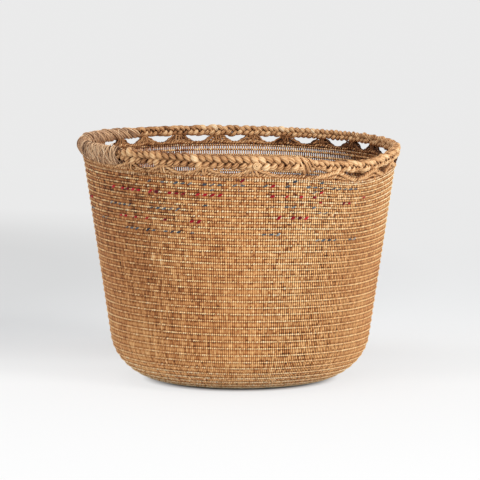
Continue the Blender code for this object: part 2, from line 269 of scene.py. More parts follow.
def dress(name, tubes, material, node):
    """One piece of the scene from tubes, riding on the basket and standing for this node."""
    segments = [t["points"].shape[0] * (t["points"].shape[1] - 1) for t in tubes]
    total = sum(segments)
    sides_most = max(t["points"].shape[2] for t in tubes)
    columns = ceil(sqrt(total * sides_most))
    strips = ceil(total / columns)
    quads, charts, first_vertex, first_segment = [], [], 0, 0
    for t, count in zip(tubes, segments):
        lines, samples, sides = t["points"].shape[:3]
        index = first_vertex + np.arange(lines * samples * sides).reshape(lines, samples, sides)
        here, there = index[:, :-1], index[:, 1:]
        quads.append(np.stack((here, np.roll(here, -1, 2), np.roll(there, -1, 2), there), -1).reshape(-1, 4))
        number = np.repeat(first_segment + np.arange(count), sides)
        edge = np.tile(np.arange(sides), count) / sides
        left, low = (number % columns) / columns, (number // columns + edge) / strips
        right, high = left + 1 / columns, low + 1 / (sides * strips)
        charts.append(np.stack((left, low, left, high, right, high, right, low), -1).reshape(-1, 2))
        first_vertex += lines * samples * sides
        first_segment += count
    quads = np.concatenate(quads)
    mesh = bpy.data.meshes.new(name)
    points = np.concatenate([t["points"].reshape(-1, 3) for t in tubes])
    mesh.vertices.add(len(points))
    mesh.vertices.foreach_set("co", points.astype(np.float32).ravel())
    mesh.loops.add(quads.size)
    mesh.loops.foreach_set("vertex_index", quads.astype(np.int32).ravel())
    mesh.polygons.add(len(quads))
    mesh.polygons.foreach_set("loop_start", np.arange(0, quads.size, 4, dtype=np.int32))
    mesh.polygons.foreach_set("loop_total", np.full(len(quads), 4, dtype=np.int32))
    mesh.update(calc_edges=True)
    mesh.shade_smooth()
    charts = np.concatenate(charts).astype(np.float32)
    mesh.uv_layers.new(name="OFBake").data.foreach_set("uv", charts.ravel())
    for key, kind, field in (("tone", "FLOAT", "value"), ("grain", "FLOAT_VECTOR", "vector")):
        values = np.concatenate([t[key].ravel() for t in tubes]).astype(np.float32)
        mesh.attributes.new(key, kind, "POINT").data.foreach_set(field, values)
    mesh.materials.append(material)
    piece = add_object(name, mesh)
    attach(piece, "root")
    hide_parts(node)


# Materials


class Tree:
    """A node tree that grows node by node."""

    def __init__(self, owner):
        owner.use_nodes = True
        self.nodes, self.link = owner.node_tree.nodes, owner.node_tree.links.new

    def fill(self, name, **values):
        """The node of this name, with inputs set by name, where underscores stand for spaces."""
        for key, value in values.items():
            self.nodes[name].inputs[key.replace("_", " ")].default_value = value
        return self.nodes[name]

    def add(self, kind, **values):
        """A new node of this kind, with inputs set in the same way."""
        return self.fill(self.nodes.new("ShaderNode" + kind).name, **values)

    def math(self, operation, *sources):
        """A math node on sockets or numbers. Returns its socket."""
        made = self.add("Math")
        made.operation = operation
        for source, socket in zip(sources, made.inputs):
            if isinstance(source, float):
                socket.default_value = source
            else:
                self.link(source, socket)
        return made.outputs["Value"]

    def ramp(self, socket, stops):
        """A colour ramp over a socket, through pairs of a place and a colour. Returns its socket."""
        made = self.add("ValToRGB")
        elements = made.color_ramp.elements
        elements.remove(elements[1])
        for i, (at, colour) in enumerate(stops):
            element = elements[0] if i == 0 else elements.new(at)
            element.position, element.color = at, colour
        self.link(socket, made.inputs["Fac"])
        return made.outputs["Color"]

    def greys(self, socket, first, last, stops):
        """A grey that follows a coordinate from first to last. Returns its socket."""
        along = self.add("MapRange", From_Min=first, From_Max=last)
        self.link(socket, along.inputs["Value"])
        return self.ramp(along.outputs["Result"], [
            ((at - first) / (last - first), (level, level, level * COOL, 1.0)) for at, level in stops
        ])

    def distance(self, where, x, y):
        """Distance on the floor from this point. Returns its socket."""
        gap = self.add("VectorMath")
        gap.operation = "DISTANCE"
        gap.inputs[1].default_value = (x, y, 0.0)
        self.link(where, gap.inputs[0])
        return gap.outputs["Value"]

    def seen_rays(self):
        """Rays that show the background: from the camera, and by way of gloss or glass."""
        path = self.add("LightPath").outputs
        seen = path["Is Camera Ray"]
        for ray in ("Is Glossy Ray", "Is Transmission Ray"):
            seen = self.math("MAXIMUM", seen, path[ray])
        return seen

    def show(self, output, *sources):
        """Shows a mix of two shaders, the second by the share that comes first."""
        mix = self.add("MixShader")
        for source, socket in zip(sources, mix.inputs):
            self.link(source, socket)
        self.link(mix.outputs["Shader"], self.nodes[output].inputs["Surface"])


def linear(colour):
    """A display colour from 0 to 255 as scene light."""
    return [((c / 255 + 0.055) / 1.055) ** 2.4 if c > 10 else c / 3295 for c in colour] + [1.0]


def fibre_material(name, stops, roughness, streak=0.16, blotch=0.10, sheen=0.0, gloss=0.22):
    """Dry fibre: streaks along the strand, blotches across the piece, and a tone of its own."""
    made = bpy.data.materials.new(name)
    tree = Tree(made)
    shader = tree.fill("Principled BSDF", Roughness=roughness, Specular_IOR_Level=gloss, Sheen_Weight=sheen)
    grain = tree.add("Attribute")
    grain.attribute_name = "grain"
    stretch = tree.add("Mapping", Scale=(160, 2600, 2600))
    tree.link(grain.outputs["Vector"], stretch.inputs["Vector"])
    streaks = tree.add("TexNoise", Scale=1.0, Detail=3.0)
    tree.link(stretch.outputs["Vector"], streaks.inputs["Vector"])
    where = tree.add("TexCoord")
    blotches = tree.add("TexNoise", Scale=46.0, Detail=4.0)
    tree.link(where.outputs["Object"], blotches.inputs["Vector"])
    tone = tree.add("Attribute")
    tone.attribute_name = "tone"
    value = tone.outputs["Fac"]
    for source, amount in ((streaks, streak), (blotches, blotch)):
        centred = tree.math("SUBTRACT", source.outputs["Fac"], 0.5)
        value = tree.math("MULTIPLY_ADD", centred, 2 * amount, value)
    colour = tree.ramp(value, [(at, linear(colour)) for at, colour in stops])
    tree.link(colour, shader.inputs["Base Color"])
    bump = tree.add("Bump", Strength=0.45, Distance=0.00025)
    tree.link(streaks.outputs["Fac"], bump.inputs["Height"])
    tree.link(bump.outputs["Normal"], shader.inputs["Normal"])
    return made


WARP_LOOK = fibre_material("warp_root", (
    (0.0, (46, 22, 10)), (0.2, (118, 64, 31)), (0.4, (187, 121, 68)),
    (0.55, (221, 166, 106)), (0.75, (243, 200, 141)), (1.0, (252, 224, 184)),
), 0.60, blotch=0.07)
WEFT_LOOK = fibre_material("weft_root", (
    (0.0, (60, 31, 16)), (0.25, (142, 83, 47)), (0.45, (211, 150, 97)),
    (0.6, (242, 196, 136)), (0.8, (253, 226, 174)), (1.0, (255, 240, 206)),
), 0.52, blotch=0.07)
CORD_LOOK = fibre_material("plaited_root", (
    (0.0, (56, 31, 18)), (0.2, (98, 60, 36)), (0.4, (164, 114, 74)),
    (0.6, (214, 164, 114)), (0.8, (242, 206, 158)), (1.0, (254, 234, 202)),
), 0.66, streak=0.26, gloss=0.14)
LAP_LOOK = fibre_material("weathered_root", (
    (0.0, (60, 40, 29)), (0.25, (122, 90, 68)), (0.45, (176, 140, 112)),
    (0.62, (206, 164, 126)), (0.8, (236, 196, 152)), (1.0, (248, 224, 190)),
), 0.72, streak=0.32, gloss=0.10)
RED_LOOK = fibre_material("red_wool", (
    (0.0, (90, 2, 12)), (0.5, (168, 10, 26)), (1.0, (206, 50, 54)),
), 0.85, sheen=0.2)
BLUE_LOOK = fibre_material("blue_wool", (
    (0.0, (40, 50, 60)), (0.5, (84, 97, 106)), (0.85, (150, 153, 150)), (1.0, (210, 204, 190)),
), 0.85, sheen=0.2)


def azimuth_across(x, radius):
    """The front azimuth that lies at this place across the picture."""
    scale = CAMERA_DISTANCE / PIXEL_REACH
    azimuth = -pi / 2
    for _ in range(6):
        depth = CAMERA_DISTANCE + radius * sin(azimuth) * cos(CAMERA_ELEVATION)
        share = (x - PIXELS / 2) * scale * depth / CAMERA_DISTANCE / radius
        azimuth = -acos(max(-0.995, min(0.995, share)))
    return azimuth


def on_wall(x, y):
    """The way up and the azimuth of the front wall's point at this place in the picture."""
    pitch = CAMERA_ELEVATION - atan(AIM_BELOW_CENTRE / PIXEL_REACH)
    low, high = 0.0, LIP_WAY
    for _ in range(30):
        way = (low + high) / 2
        radius, height, _, _ = (float(v) for v in profile(way))
        azimuth = azimuth_across(x, radius)
        forth = radius * sin(azimuth) + CAMERA_DISTANCE * cos(CAMERA_ELEVATION)
        down = AIM_HEIGHT + CAMERA_DISTANCE * sin(CAMERA_ELEVATION) - height
        below = down * cos(pitch) - forth * sin(pitch)
        seen = PIXELS / 2 + PIXEL_REACH * below / (forth * cos(pitch) + down * sin(pitch))
        low, high = (way, high) if seen > y else (low, way)
    return way, azimuth


# Pale flecks and dark snags on the wall: place in the picture, reach and change of tone
FLECKS = [(*on_wall(x, y), reach, tone) for x, y, reach, tone in (
    (153, 256, 0.0030, 0.34), (161, 261, 0.0022, 0.30), (146, 249, 0.0016, 0.22), (196, 297, 0.0026, 0.26),
    (97, 205, 0.0026, 0.20), (104, 210, 0.0018, 0.18), (232, 196, 0.0018, 0.16), (259, 195, 0.0018, 0.18),
    (273, 206, 0.0024, 0.20), (300, 371, 0.0020, 0.20), (331, 367, 0.0022, 0.22), (212, 372, 0.0020, 0.18),
    (326, 260, 0.0019, -0.34), (333, 260, 0.0017, -0.30), (218, 306, 0.0020, -0.28),
    (180, 230, 0.0018, -0.26), (310, 318, 0.0034, -0.16), (311, 326, 0.0030, -0.16),
    (214, 246, 0.0026, -0.14), (170, 300, 0.0022, -0.16), (213, 222, 0.0030, -0.16),
    (330, 342, 0.0024, -0.20), (246, 340, 0.0022, -0.16), (340, 190, 0.0018, -0.20),
)]
WALL_RADIUS = 0.16  # on the mean, for the flecks' width


def wall_tone_and_light(way, azimuth):
    """The wall's colour: its own patches, flecks and snags, with painted shade at the left and right and
    painted light at the front and low down.
    """
    left, right = clamp(-np.cos(azimuth)), clamp(np.cos(azimuth))
    middle = clamp(-np.sin(azimuth)) ** 3
    share = way / LIP_WAY
    patches = 0.016 * np.sin(3 * azimuth + 9 * share) + 0.014 * np.sin(7 * azimuth - 5 * share + 1.0)
    # Painted shade at the left, growing towards the lip; the patches are the wall's own
    tone = 0.50 - 0.104 * left * clamp(share + 0.1) ** 2 + patches
    # Painted light at the front and low down, and painted shade at the right
    tone = tone + 0.026 * middle - 0.030 * right + 0.09 * clamp(1 - 2.4 * share)
    for at_way, at_azimuth, reach, change in FLECKS:
        across = angle_from(azimuth, at_azimuth) * WALL_RADIUS
        gap = (across**2 + (way - at_way) ** 2) / reach**2
        tone = tone + change * np.exp(-gap)
    return tone


def near_lip(way):
    """Rises from 0 to 1 over the upper part of the wall."""
    return clamp((way / LIP_WAY - 0.62) * 3)


def roughness(way, azimuth):
    """How strongly the weave stands out: most near the lip and low down, least at the left."""
    left = clamp(-np.cos(azimuth)) ** 2
    high = near_lip(way) * (0.50 + 0.35 * clamp(2 * np.cos(azimuth)))
    low = clamp(1 - way / 0.08) * clamp(1 + way / 0.02)
    middle = np.exp(-(((np.cos(azimuth) - 0.35) / 0.28) ** 2))
    return 0.92 + high - 0.32 * left + 0.38 * middle + (0.8 + 0.8 * calm(azimuth)) * low


def calm(azimuth):
    """How much the grain varies within a crossing: half as much at the right."""
    return 1 - 0.5 * clamp((np.cos(azimuth) - 0.60) / 0.25)


def evenness(azimuth):
    """How much whole crossings and warps vary: less than half as much in the middle and at the right."""
    return 1 - 0.58 * clamp((np.cos(azimuth) + 0.35) / 0.3)


# Warps


def openness(azimuth, from_top):
    """How far the warps stand apart, this many rows under the lip. Daylight shows at the back."""
    back = clamp(1.6 * np.sin(azimuth) + 0.4) * (1 - clamp(np.cos(azimuth)) ** 10)
    return back * clamp(6 * (from_top + 0.24)) * clamp(0.25 * (10.5 - from_top))


def warp_path(numbers):
    """Warps' azimuths, and the ways up and counts of turns along them, from where each begins to the lip."""
    azimuth = (numbers * TAU / WARPS)[:, None]
    lower = np.linspace(0.0, 1.0, BOTTOM_SAMPLES)
    second = (numbers % 2 == 1)[:, None]
    fourth = (numbers % 4 == 2)[:, None]
    first = np.where(second, SECOND_WAY, np.where(fourth, FOURTH_WAY, START_RADIUS - BASE_RADIUS - 0.0015))
    samples = WARP_SAMPLES * (floor(TURNS) + 2) + 4
    turns = np.arange(samples) / WARP_SAMPLES - azimuth / TAU
    turns = np.minimum(turns, TURNS + 0.8)
    upper = np.minimum(row_way(np.maximum(turns, -1.0)), LIP_WAY + 0.0016)
    below = first + (upper[:, :1] - 0.002 - first) * lower
    way = np.concatenate((below, upper), 1)
    way = way + np.arange(way.shape[1]) * 1e-7  # no two samples lie in one place
    turns = np.concatenate((0.25 - azimuth / TAU + 0 * below, turns), 1)
    return azimuth, way, turns


def warp_tubes(numbers):
    """Warps from the start over the bottom and up to the lip."""
    azimuth, way, turns = warp_path(numbers)
    flatness = clamp(1 - way / FLAT_REACH)
    rows = turns + azimuth / TAU
    between = 0.5 - 0.5 * np.cos(TAU * rows)
    own = chance.normal(0.0, 1.0, (len(numbers), 1))
    drift = wander_each(way.shape, 4 * WARP_SAMPLES)
    cells = chance.normal(0.0, 1.0, (len(numbers), ceil(TURNS) + 2))
    cell = np.take_along_axis(cells, np.clip(np.floor(rows), 0, cells.shape[1] - 1).astype(int), 1)
    out = WALL_MIDDLE - 0.0004 * flatness + 0.00022 * between + 0.00005 * own
    radius = profile(way)[0]
    pitch = TAU * radius / WARPS
    count = np.where(way < FOURTH_WAY, 4, np.where(way < SECOND_WAY, 2, 1))
    width = np.minimum(WARP_FILL * pitch * count, WARP_WIDEST)
    opened = openness(azimuth, TURNS - turns) * (way > 0.08)
    width = width * (1.0 - (0.46 + 0.24 * clamp(2 * np.cos(azimuth) - 0.8)) * opened)
    width = width * (1 + 0.03 * own) * (0.90 + 0.10 * between)
    depth = (WARP_HALF_DEPTH - 0.00042 * flatness) * (0.86 + 0.18 * between)
    width[:, 0] *= 0.3
    sway = wander_each(way.shape, WARP_SAMPLES) * 0.00009 / radius

    rough, even = roughness(way, azimuth), evenness(azimuth)
    furrow = clamp((np.cos(azimuth) - 0.1) / 0.3)
    high = (1 - furrow) * near_lip(way)
    uneven = OWN_TONE * own + DRIFT_TONE * (drift + 0.10 * drift**3) + CELL_TONE * rough * cell
    tone = wall_tone_and_light(way, azimuth) + even * uneven
    # Painted shade where the weft crosses a warp, and a painted highlight on its bulge between rows
    tone = tone - (0.10 + 0.17 * even) * rough * (1 - between) ** 1.3 + 0.07 * rough * between**3
    grain = chance.normal(0.0, 1.0, way.shape)
    tone = tone + (GRAIN_TONE + 0.024 * furrow) * rough * calm(azimuth) * grain
    tone = tone + 0.03 * opened + 0.035 * furrow - 0.05 * high
    # Painted shade between the warps, deeper at the right and lighter near the lip elsewhere
    seam_shade = 0.54 - 0.23 * even + 0.60 * furrow - 0.14 * high
    # Painted shade on the warps' inner face, deeper at the right
    return tube(
        place(lifted(way, azimuth), azimuth + sway, out), facing(way, azimuth), width, depth, WARP_SIDES,
        tone, identity=numbers * 0.173, seam_shade=seam_shade[:, :, None], edge=6,
        inner_shade=0.03 + 0.08 * clamp(1.3 * np.cos(azimuth)),
    )


def dress_warps():
    for group in range(WARP_GROUPS):
        numbers = np.arange(group * WARPS // WARP_GROUPS, (group + 1) * WARPS // WARP_GROUPS)
        made = [warp_tubes(numbers[numbers % 2 == 0]), warp_tubes(numbers[numbers % 2 == 1])]
        dress(f"warps_{group + 1:02d}", made, WARP_LOOK, f"warp_group_{group + 1:02d}")


# Twined weft


def twined_pair(azimuth, way, warps, offset, reach, brightness=0.0, fuller=0.0):
    """Two strands that swap sides of the wall between warps, brighter and fuller by these amounts."""
    made = []
    drift = wander(len(azimuth), 160, 0.00016)
    for strand in (0, 1):
        phase = azimuth * warps / 2 + strand * pi
        stitch = np.round(phase / pi).astype(int)
        shades = chance.normal(0.0, 1.0, int(stitch.max() - stitch.min()) + 1)
        shade = shades[stitch - stitch.min()]
        outness = np.cos(phase)
        up = WEFT_SWING * np.sin(phase)
        size = (0.34 + 0.66 * np.abs(outness)) * (1 + 0.10 * shade)
        width = WEFT_HALF_WIDTH * size * (1 + fuller)
        depth = WEFT_HALF_DEPTH * size * (1 + 0.3 * fuller)
        rough = roughness(way, azimuth)
        # Painted highlight where each stitch stands out furthest, painted shade where it turns under
        tone = wall_tone_and_light(way, azimuth) + 0.02 + brightness + rough * (0.46 * np.abs(outness) ** 2 - 0.16)
        tone = tone + 0.10 * rough * evenness(azimuth) * shade + 0.05 * wander(len(azimuth), 500)
        # Painted shade on the weft's inner face, deeper at the right
        inner_shade = 0.08 + 0.10 * clamp(1.3 * np.cos(azimuth))
        width[[0, -1]] *= 0.2
        depth[[0, -1]] *= 0.2
        made.append(tube(
            place(way + up + drift, azimuth, offset + reach * outness), facing(way, azimuth), width, depth,
            WEFT_SIDES, tone, identity=strand * 3.1, seam_shade=0.18, inner_shade=inner_shade,
        ))
    return made


def dress_weft():
    for index in range(WEFT_LENGTHS):
        steps = round(TURNS_PER_LENGTH * WARPS * WEFT_SAMPLES)
        turns = (index + np.linspace(0.0, 1.0, steps + 1)) * TURNS_PER_LENGTH
        azimuth = -turns * TAU
        way = lifted(row_way(turns), azimuth)
        fuller = 0.75 * openness(azimuth, TURNS - turns + 0.3)
        made = twined_pair(azimuth, way, WARPS, WALL_MIDDLE, WEFT_REACH, -0.10 * fuller, fuller)
        dress(f"twining_{index + 1:02d}", made, WEFT_LOOK, f"weft_length_{index + 1:02d}")


def bottom_spiral(first_way, last_way, warps, pitch, offset):
    """A spiral of twining over the bottom, outwards from the middle."""
    count = (last_way - first_way) / pitch
    turns = np.linspace(0.0, count, round(count * warps * WEFT_SAMPLES) + 1)
    way = first_way + turns * pitch
    flatness = clamp(1 - way / FLAT_REACH)
    middle = WALL_MIDDLE - offset * flatness
    return twined_pair(-turns * TAU, way, warps, middle, WEFT_REACH - 0.0006 * flatness)


def dress_bottom():
    """Twining over a fourth, half and all of the warps, and the start's spokes with its own spiral."""
    middle = -BASE_RADIUS
    rings = []
    for first, last, warps, pitch in (
        (middle + START_RADIUS + 0.002, middle + 0.049, WARPS // 4, 0.0055),
        (middle + 0.0495, SECOND_WAY, WARPS // 2, 0.0062),
        (0.008, FIRST_ROW_WAY - 0.0005, WARPS, 0.0068),
    ):
        rings += bottom_spiral(first, last, warps, pitch, 0.0004)
    dress("bottom_twining", rings, WEFT_LOOK, "base_weft")
    numbers = np.arange(SPOKES)
    azimuth = (numbers * TAU / SPOKES)[:, None]
    way = middle + np.linspace(0.0012, START_RADIUS - 0.0008, 8) + 0 * azimuth
    width = np.minimum(0.45 * TAU * (way - middle) / SPOKES, 0.0012)
    tone = 0.42 + 0.07 * chance.normal(0.0, 1.0, (SPOKES, 1)) + 0 * way
    spokes = tube(
        place(way, azimuth, WALL_MIDDLE - 0.0005), facing(way, azimuth), width, 0.0007, 6, tone,
        identity=numbers * 0.21, seam_shade=0.2,
    )
    knot = bottom_spiral(middle + 0.0035, middle + START_RADIUS - 0.001, SPOKES, 0.0036, 0.0005)
    dress("start_knot", [spokes] + knot, WARP_LOOK, "base_start")


# Wool

# Girth, lean, look and slot
RED = (0.00150, 0.8, RED_LOOK, "red_wool")
BLUE = (0.00098, 0.9, BLUE_LOOK, "blue_wool")
DASH_SAMPLES = 12  # for each stroke

# Pieces, nodes, and each dash's row below the top and its two ends across the picture
WOOL = (
    ("blue_wool_upper", "blue_yarn_upper", (
        (1, 152, 156), (1, 165, 168), (1, 173, 176), (1, 179, 183), (1, 193, 199), (1, 201, 221),
        (1, 235, 240), (1, 243, 252), (1, 266, 281), (1, 287, 294), (1, 309, 312), (1, 317, 329),
        (1, 333, 361), (0, 298, 302), (0, 320, 326), (2, 214, 218), (2, 318, 324),
    )),
    ("red_wool_upper", "red_yarn_upper", (
        (3, 112, 118), (3, 123, 145), (3, 148, 161), (3, 167, 186), (3, 195, 224), (0, 240, 248),
        (3, 273, 276), (3, 287, 291), (3, 302, 306), (3, 315, 318), (4, 320, 324), (4, 346, 349),
        (4, 352, 356), (3, 367, 370), (1, 274, 277), (2, 322, 328),
    )),
    ("blue_wool_middle", "blue_yarn_middle", (
        (6, 110, 131), (6, 150, 160), (6, 166, 186), (5, 271, 277), (5, 286, 301), (5, 312, 315),
        (6, 319, 334), (5, 204, 209),
    )),
    ("red_wool_lower", "red_yarn_lower", (
        (8, 122, 130), (8, 134, 137), (8, 145, 148), (8, 163, 171), (8, 190, 205), (7, 279, 282),
        (7, 293, 296), (7, 301, 304), (7, 307, 310), (6, 91, 94),
    )),
    ("blue_wool_lower", "blue_yarn_lower", (
        (8, 93, 96), (9, 105, 110), (10, 129, 146), (10, 150, 160), (10, 166, 184), (10, 193, 203),
        (10, 261, 280), (11, 324, 341), (11, 350, 358), (11, 319, 322),
    )),
)


def wool_dash(first, last, row, girth, lean_most):
    """Wool laid along one strand of the weft, in slanting strokes that show over two warps of three."""
    stitch = 3 * TAU / WARPS
    start = floor(first / stitch + 0.5) - 0.5
    count = max(1, round((last - first) / stitch))
    azimuth = (start + np.linspace(0.0, count, count * DASH_SAMPLES + 1)) * stitch
    way = lifted(row_way(row - azimuth / TAU), azimuth)
    phase = azimuth * WARPS / 3
    outness = np.cos(phase) + 0.72
    number = np.minimum((np.arange(len(azimuth)) / DASH_SAMPLES).astype(int), count - 1)
    sizes = np.clip(chance.normal(1.0, 0.24, count), 0.4, 1.35)[number]
    lean = np.clip(chance.normal(lean_most, 0.6, count), 0.2, 2.0)[number]
    fray = 1 + 0.10 * wander(len(azimuth), 3)
    width = girth * (0.30 + 0.36 * np.maximum(outness, 0.0)) * sizes * fray
    depth = 0.5 * girth * (0.45 + 0.42 * np.maximum(outness, 0.0)) * sizes
    width[[0, -1]] *= 0.2
    depth[[0, -1]] *= 0.2
    out = WALL_MIDDLE + (WEFT_REACH + 0.00050) * np.clip(outness * 1.3 + 0.25, 0.0, 1.05)
    centre = place(way + lean * 0.0007 * np.sin(phase), azimuth, out)
    tone = 0.46 + 0.14 * wander(len(azimuth), 4) + 0.20 * chance.normal(0, 1, count)[number]
    return tube(centre, facing(way, azimuth), width, depth, 8, tone, seam_shade=0.12)


def dress_wool():
    for name, node, dashes in WOOL:
        girth, lean, look, slot = RED if name.startswith("red") else BLUE
        made = []
        for rows_below_top, *ends in dashes:
            row = floor(TURNS) - rows_below_top
            radius = float(profile(row_way(row + 0.25), 0.001)[0])
            made.append(wool_dash(*(azimuth_across(x, radius) for x in ends), row, girth, lean))
        dress(name, made, look, node)


# Rim: plaits, lip cord, ties and laps

FRONT = {
    "start": radians(-160), "end": radians(-66.5), "periods": 12, "lobes": 33, "middle": 0.0067,
    "swing": 0.0048, "swing_out": 0.0029, "half_width": 0.0031, "half_depth": 0.0026, "waver": 0.0004,
}
BACK = {
    "start": radians(-64.5), "end": radians(198), "periods": 40, "lobes": 99, "middle": 0.0058,
    "swing": 0.0035, "swing_out": 0.0024, "half_width": 0.0024, "half_depth": 0.0021, "waver": 0.0008,
}


# Azimuths between which the laps are wound
LEFT_LAP = (radians(168), radians(223))
LEFT_TAIL = (radians(133), radians(170))
RIGHT_LAP = (radians(-68.3), radians(-63.4))


def furrows(samples, twist):
    """Furrows that run along a strand and turn with the twist, as shares of its radius."""
    along = 1 + 0.35 * wander(samples, 9)
    angle = angles_round(PLAIT_SIDES) - twist[:, None]
    wave = 0.5 + 0.5 * np.cos(FURROWS * angle)
    strong = 1 + 0.35 * np.cos(2 * angle + 1.0) + 0.30 * np.cos(3 * angle - 0.5)
    return FURROW_DEPTH * along[:, None] * strong * wave**3


def lap_share(azimuth):
    """How far the plait lies inside a lap's winding here, where it is drawn tight."""
    turned = np.remainder(azimuth, TAU)
    left = clamp((turned - LEFT_TAIL[0]) / 0.16) * clamp((radians(227) - turned) / 0.10)
    right = clamp(1 - np.abs(turned - radians(294.5)) / 0.055)
    return np.maximum(left, right)


def plait(braid, index, name, node):
    """One strand of a three-strand plait whose lobes point along the rim."""
    samples = braid["periods"] * PLAIT_STEPS + 1
    share = np.linspace(0.0, 1.0, samples)
    azimuth = braid["start"] + (braid["end"] - braid["start"]) * share
    phase = -pi / 2 + share * braid["periods"] * TAU + index * TAU / 3
    phase = phase + 0.12 * wander(samples, PLAIT_STEPS)
    lobe = wander(samples, PLAIT_STEPS // 2)
    up = np.sin(phase)
    tight = 1 - 0.42 * lap_share(azimuth)
    swing = braid["swing"] * (1 + 0.06 * wander(samples, PLAIT_STEPS)) * tight
    rise = BRAID_FOOT + braid["middle"] + swing * (1.12 * up - 0.12 * up**3)
    rise = rise + braid["waver"] * wander(samples, 3 * PLAIT_STEPS)
    outness = -np.sin(2 * phase)
    out = braid["swing_out"] * outness * tight + 0.0003 * wander(samples, 40)
    plump = (1 + 0.16 * np.abs(outness) ** 2) * tight
    width = braid["half_width"] * (1 + 0.09 * lobe) * plump
    depth = braid["half_depth"] * (1 + 0.07 * lobe) * plump
    front, left = clamp(-1.5 * np.sin(azimuth)), clamp(-np.cos(azimuth) - 0.15)
    # Painted shade where a strand passes under the others; the tone also falls towards the left
    tone = 0.61 - 0.045 * front + 0.105 * lobe + 0.08 * np.abs(outness) - 0.08 * left
    tone = tone + 0.06 * clamp(-np.sin(azimuth - 0.6)) ** 2
    twist = 0.7 * np.sin(phase + 0.6) + 0.4 * wander(samples, PLAIT_STEPS)
    # The painted shade between the plait's strands is kept off the edges that face out of the plait
    on_edge = clamp(1.3 * up[:, None] * np.sign(np.cos(angles_round(PLAIT_SIDES)))[None])
    made = tube(
        rim_place(rise, azimuth, out), facing(LIP_WAY + rise, azimuth), width, depth,
        PLAIT_SIDES, tone, identity=index * 1.7, seam_shade=0.74 * (1 - 0.8 * on_edge), edge=4,
        grooves=furrows(samples, twist),
    )
    dress(name, [made], CORD_LOOK, node)


def dress_plaits():
    for index, letter in enumerate("abc"):
        plait(FRONT, index, f"front_plait_{letter}", f"front_braid_strand_{letter}")
        plait(BACK, index, f"back_plait_{letter}", f"back_braid_strand_{letter}")


def nearest_lobe(azimuth):
    """The azimuth of the plait's low lobe that is nearest to this one."""
    lobes = []
    for braid in (FRONT, BACK):
        lobes += [
            braid["start"] + (braid["end"] - braid["start"]) * k / braid["lobes"]
            for k in range(1, braid["lobes"])
        ]
    return min(lobes, key=lambda lobe: abs(remainder(lobe - azimuth, TAU)))


def tie_place(degrees):
    """A tie's azimuth, which may lie a little off the plait's lobe that it is bound to."""
    lobe = nearest_lobe(radians(degrees))
    wanted = radians(degrees + (1.0 if degrees > 0 else 0.0))
    return lobe + float(np.clip(remainder(wanted - lobe, TAU), -0.026, 0.026))


TIES = [tie_place(degrees) for degrees in TIE_AZIMUTHS_DEG]


def lip_hill(azimuth):
    """How far the lip's cord is drawn up here by the ties."""
    gaps = np.stack([angle_from(azimuth, tie) for tie in TIES])
    return 0.0016 * np.exp(-((gaps / 0.040) ** 2)).max(0)


def front_share(azimuth):
    """1 on the front, 0 on the back."""
    return clamp(0.5 - 1.6 * np.sin(azimuth))


def dress_lip():
    """A cord of two plies on the wall's top edge, and close twining right under it."""
    turns, steps = 150, 12
    samples = turns * steps + 1
    azimuth = np.linspace(0.0, TAU, samples)
    made = []
    base = CLEARANCE + LIP_CORD_HEIGHT / 2 + lip_hill(azimuth) + 0.0008 * front_share(azimuth)
    for ply in (0, 1):
        phase = azimuth * turns + ply * pi
        rise = base + 0.00100 * np.sin(phase)
        lobe = chance.normal(0, 1, turns + 1)[(np.arange(samples) // steps) % turns]
        # Painted shade where the two plies turn in against each other
        tone = 0.60 + 0.08 * lobe + 0.05 * front_share(azimuth) - 0.24 * (1 - np.abs(np.cos(phase)))
        made.append(tube(
            rim_place(rise, azimuth, 0.00115 * np.cos(phase)), facing(LIP_WAY + rise, azimuth),
            0.00120, 0.00125, 10, tone, identity=ply * 2.3, seam_shade=0.34,
        ))
    count = WARPS * WEFT_SAMPLES
    around = np.linspace(0.0, TAU, count + 1)
    under = LIP_WAY + lip_lift(around)
    made += twined_pair(around, under - 0.0006, WARPS, WALL_MIDDLE, WEFT_REACH, -0.04)
    first, last = 0.44, 0.745
    around = np.linspace(first * TAU, last * TAU, round(count * (last - first)) + 1)
    last_row = lifted(row_way(TURNS + 1.0 - np.remainder(TURNS + around / TAU, 1.0)), around)
    made += twined_pair(around, last_row, WARPS, WALL_MIDDLE, WEFT_REACH, -0.02)
    dress("lip_twist", made, CORD_LOOK, "lip_cord")


def slope(azimuth, near, far, foot, top, level, out, thickness, tone, crown, coil, start):
    """A strand that runs up one side of a tie, along its hill, over its crown and down the other.

    Two strands with a coil, half a turn apart, make a rope.
    """
    samples = 61
    share = np.linspace(-1.0, 1.0, samples)
    reach = np.where(share < 0, near, far)
    across = share * reach
    climb = clamp((1.0 - np.abs(share)) / (1.0 - crown / reach))
    rise = foot + (top - foot) * level * climb**1.45 + 0.00030 * wander(samples, 6)
    turned = across / 0.00105 + start
    rise, out = rise + coil * np.sin(turned), out + coil * np.cos(turned)
    around = azimuth + across / LIP_RADIUS
    width = thickness * (0.55 + 0.45 * np.minimum(1.0, climb * 3)) * (1 + 0.12 * wander(samples, 7))
    width[[0, -1]] *= 0.3
    shade = tone + 0.05 * wander(samples, 8)
    return tube(
        rim_place(rise, around, out + 0.0003 * wander(samples, 9)), facing(LIP_WAY + rise, around),
        width, thickness * 0.9, 9, shade, identity=chance.uniform(0, 9), seam_shade=0.30, edge=3,
    )


